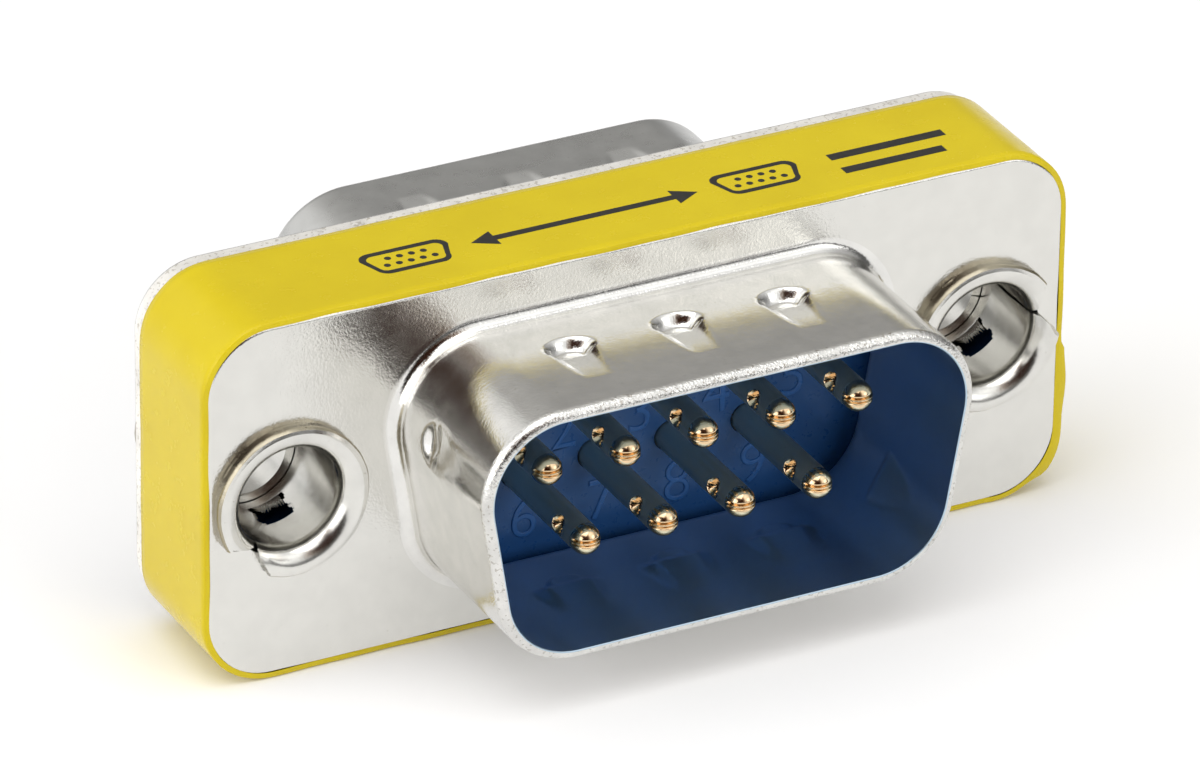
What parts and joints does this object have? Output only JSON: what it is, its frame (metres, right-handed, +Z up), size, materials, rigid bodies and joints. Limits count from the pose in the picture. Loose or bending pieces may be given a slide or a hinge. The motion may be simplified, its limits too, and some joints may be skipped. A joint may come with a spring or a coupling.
{
  "type": "d-sub gender changer",
  "caption": "Slim D-sub gender changer: a shallow metal body with a pin connector on each face, riveted screw eyelets and a coloured band round its edge.",
  "frame": {"origin": "on the resting plane, under the middle of the bounding box", "axes": "+X along the body, +Z up; the front connector points along -Y and the rear one along +Y"},
  "size_m": [0.0311, 0.017, 0.0127],
  "materials": {
    "bright_tin": "bright tin plate on drawn steel, faint orange peel",
    "satin_tin": "satin tin plate on drawn steel",
    "insulator": "moulded, semi-matt dark blue",
    "contact": "thin gold plate",
    "eyelet": "tin plate, flared and split by riveting",
    "band": "glossy adhesive film"
  },
  "bodies": {
    "root": {"front_shell": "bright_tin", "rear_shell": "satin_tin", "front_insulator": "insulator", "rear_insulator": "insulator", "contact_1": "contact", "contact_2": "contact", "contact_3": "contact", "contact_4": "contact", "contact_5": "contact", "contact_6": "contact", "contact_7": "contact", "contact_8": "contact", "contact_9": "contact", "front_eyelet_left": "eyelet", "front_eyelet_right": "eyelet", "rear_eyelet_left": "eyelet", "rear_eyelet_right": "eyelet", "label_band": "band"}
  },
  "joints": []
}
